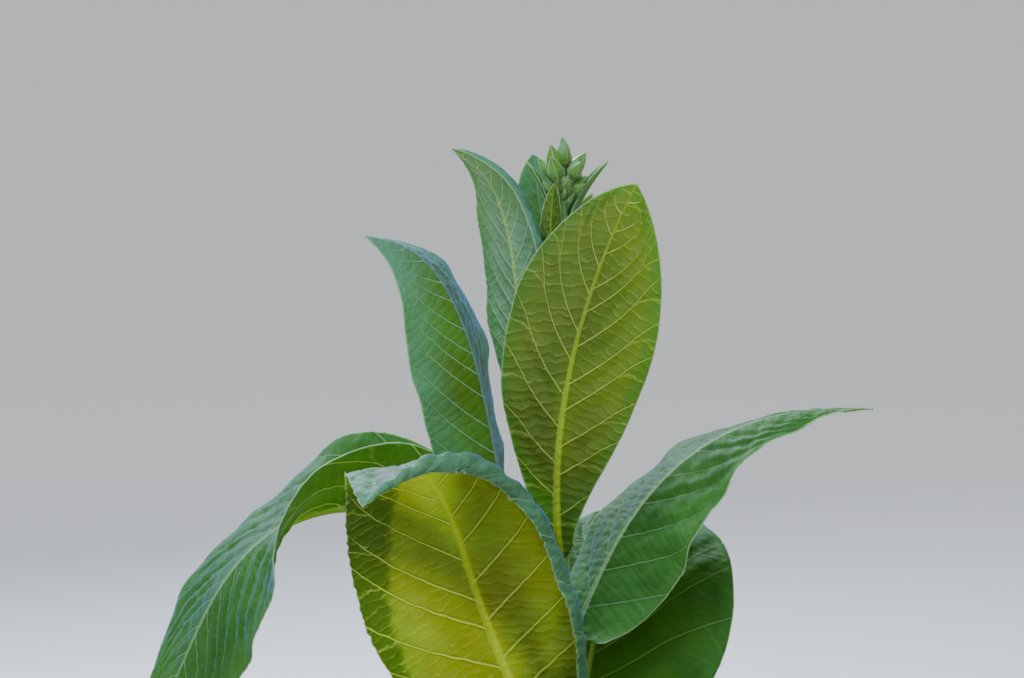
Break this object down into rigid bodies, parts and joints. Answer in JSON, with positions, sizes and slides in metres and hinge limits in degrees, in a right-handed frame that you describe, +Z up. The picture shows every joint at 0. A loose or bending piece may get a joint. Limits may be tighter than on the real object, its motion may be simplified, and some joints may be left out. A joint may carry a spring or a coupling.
{
  "type": "tobacco plant",
  "caption": "Leafy crop plant in bud: an upright stem with broad arching leaves, narrow upper leaves and a tight head of flower buds, rooted in the ground.",
  "frame": {"origin": "centre of the flat cut under the stem, at ground level", "axes": "+Z up along the stem, -Y towards the side that the picture shows, +X to its right"},
  "size_m": [0.868, 0.8338, 1.25],
  "materials": {
    "stem": "green herbaceous stem, finely hairy",
    "lower_leaf": "satin green leaf with pale veins",
    "upper_leaf": "satin yellow-green leaf with pale veins",
    "buds": "matt hairy green bud"
  },
  "bodies": {
    "root": {"stem": "stem", "flower_head": "buds", "leaf_front_upright": "upper_leaf", "leaf_left_upright": "upper_leaf", "leaf_left_back": "upper_leaf", "leaf_right_high": "upper_leaf", "leaf_left_arching": "upper_leaf", "leaf_right_low": "upper_leaf", "leaf_front_broad": "upper_leaf", "leaf_behind_front": "upper_leaf", "leaf_behind_buds": "upper_leaf", "bract_right": "upper_leaf", "bract_front": "upper_leaf", "bract_back": "upper_leaf", "bract_left": "upper_leaf", "leaf_lower_01": "lower_leaf", "leaf_lower_02": "lower_leaf", "leaf_lower_03": "lower_leaf", "leaf_lower_04": "lower_leaf", "leaf_lower_05": "lower_leaf", "leaf_lower_06": "lower_leaf", "leaf_lower_07": "lower_leaf", "leaf_lower_08": "lower_leaf", "leaf_lower_09": "lower_leaf", "leaf_lower_10": "lower_leaf", "leaf_lower_11": "lower_leaf", "leaf_lower_12": "lower_leaf", "leaf_lower_13": "lower_leaf", "leaf_lower_14": "lower_leaf"}
  },
  "joints": []
}
